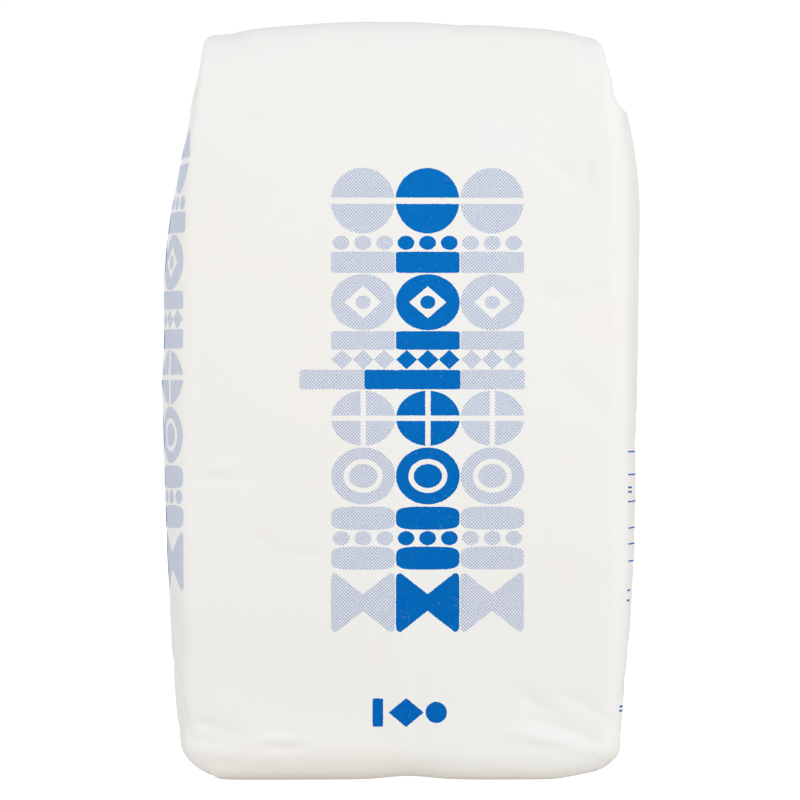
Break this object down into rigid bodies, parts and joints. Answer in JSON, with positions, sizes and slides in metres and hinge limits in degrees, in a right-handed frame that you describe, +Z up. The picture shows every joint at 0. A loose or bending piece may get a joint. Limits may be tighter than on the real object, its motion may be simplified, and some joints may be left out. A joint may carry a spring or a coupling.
{
  "type": "sugar packet",
  "caption": "Full, shut block-bottom paper packet of granulated sugar, with folded ends and bulging side panels.",
  "frame": {"origin": "middle of the base, on the surface that the packet stands on", "axes": "+Z up along the packet's height; -Y out of the front panel; +X to the right as seen from the front"},
  "size_m": [0.1093, 0.0738, 0.172],
  "materials": {
    "paper": "matte"
  },
  "bodies": {
    "root": {"sugar_packet": "paper"}
  },
  "joints": []
}
